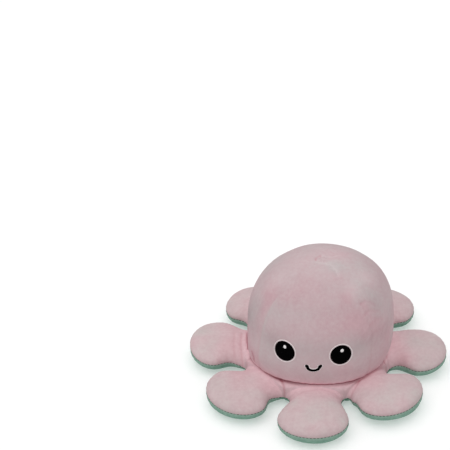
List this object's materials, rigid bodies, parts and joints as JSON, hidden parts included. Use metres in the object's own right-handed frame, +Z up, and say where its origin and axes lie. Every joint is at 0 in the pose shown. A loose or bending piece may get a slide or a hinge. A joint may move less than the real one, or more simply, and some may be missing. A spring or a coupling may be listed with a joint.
{
  "type": "plush octopus",
  "caption": "Stuffed toy octopus: a hollow dome head with an embroidered smile on a ring of short, padded tentacles that bend, lined in a second colour.",
  "frame": {"origin": "on the surface it stands on, below the middle of the ring of tentacles", "axes": "+Z up through the head; the face looks along -Y, turned 4 degrees towards -X"},
  "size_m": [0.2, 0.2, 0.0937],
  "materials": {
    "pink_plush": "dusty pink short-pile velour",
    "green_plush": "muted sea-green short-pile velour",
    "wadding": "polyester fibre filling, hidden",
    "black_thread": "black satin-stitched embroidery",
    "white_thread": "white satin-stitched embroidery"
  },
  "bodies": {
    "body": {"head_face_panel": "pink_plush", "lining_face_panel": "green_plush", "head_right_panel": "pink_plush", "lining_right_panel": "green_plush", "head_back_panel": "pink_plush", "lining_back_panel": "green_plush", "head_left_panel": "pink_plush", "lining_left_panel": "green_plush", "head_filling": "wadding", "skirt_top_panel": "pink_plush", "skirt_underside_panel": "green_plush", "skirt_filling": "wadding", "left_eye": "black_thread", "left_eye_border": "white_thread", "left_eye_highlight": "white_thread", "inner_left_eye": "black_thread", "inner_left_eye_border": "white_thread", "inner_left_eye_highlight": "white_thread", "right_eye": "black_thread", "right_eye_border": "white_thread", "right_eye_highlight": "white_thread", "inner_right_eye": "black_thread", "inner_right_eye_border": "white_thread", "inner_right_eye_highlight": "white_thread", "smile": "black_thread", "inner_frown": "black_thread"},
    "tentacle_front": {"tentacle_top_front": "pink_plush", "tentacle_filling_front": "wadding", "tentacle_underside_front": "green_plush"},
    "tentacle_front_right": {"tentacle_top_front_right": "pink_plush", "tentacle_filling_front_right": "wadding", "tentacle_underside_front_right": "green_plush"},
    "tentacle_right": {"tentacle_top_right": "pink_plush", "tentacle_filling_right": "wadding", "tentacle_underside_right": "green_plush"},
    "tentacle_back_right": {"tentacle_top_back_right": "pink_plush", "tentacle_filling_back_right": "wadding", "tentacle_underside_back_right": "green_plush"},
    "tentacle_back": {"tentacle_top_back": "pink_plush", "tentacle_filling_back": "wadding", "tentacle_underside_back": "green_plush"},
    "tentacle_back_left": {"tentacle_top_back_left": "pink_plush", "tentacle_filling_back_left": "wadding", "tentacle_underside_back_left": "green_plush"},
    "tentacle_left": {"tentacle_top_left": "pink_plush", "tentacle_filling_left": "wadding", "tentacle_underside_left": "green_plush"},
    "tentacle_front_left": {"tentacle_top_front_left": "pink_plush", "tentacle_filling_front_left": "wadding", "tentacle_underside_front_left": "green_plush"}
  },
  "joints": [
    {"name": "front_bend", "type": "hinge", "parent": "body", "child": "tentacle_front", "pos_m": [0, -0.057, 0.011], "axis": [-1, 0, 0], "range_deg": [-35, 40], "stiffness_Nm_per_rad": 0.05},
    {"name": "front_right_bend", "type": "hinge", "parent": "body", "child": "tentacle_front_right", "pos_m": [0.04031, -0.04031, 0.011], "axis": [-0.7071, -0.7071, 0], "range_deg": [-35, 40], "stiffness_Nm_per_rad": 0.05},
    {"name": "right_bend", "type": "hinge", "parent": "body", "child": "tentacle_right", "pos_m": [0.057, 0, 0.011], "axis": [0, -1, 0], "range_deg": [-35, 40], "stiffness_Nm_per_rad": 0.05},
    {"name": "back_right_bend", "type": "hinge", "parent": "body", "child": "tentacle_back_right", "pos_m": [0.04031, 0.04031, 0.011], "axis": [0.7071, -0.7071, 0], "range_deg": [-35, 40], "stiffness_Nm_per_rad": 0.05},
    {"name": "back_bend", "type": "hinge", "parent": "body", "child": "tentacle_back", "pos_m": [0, 0.057, 0.011], "axis": [1, 0, 0], "range_deg": [-35, 40], "stiffness_Nm_per_rad": 0.05},
    {"name": "back_left_bend", "type": "hinge", "parent": "body", "child": "tentacle_back_left", "pos_m": [-0.04031, 0.04031, 0.011], "axis": [0.7071, 0.7071, 0], "range_deg": [-35, 40], "stiffness_Nm_per_rad": 0.05},
    {"name": "left_bend", "type": "hinge", "parent": "body", "child": "tentacle_left", "pos_m": [-0.057, 0, 0.011], "axis": [0, 1, 0], "range_deg": [-35, 40], "stiffness_Nm_per_rad": 0.05},
    {"name": "front_left_bend", "type": "hinge", "parent": "body", "child": "tentacle_front_left", "pos_m": [-0.04031, -0.04031, 0.011], "axis": [-0.7071, 0.7071, 0], "range_deg": [-35, 40], "stiffness_Nm_per_rad": 0.05}
  ]
}
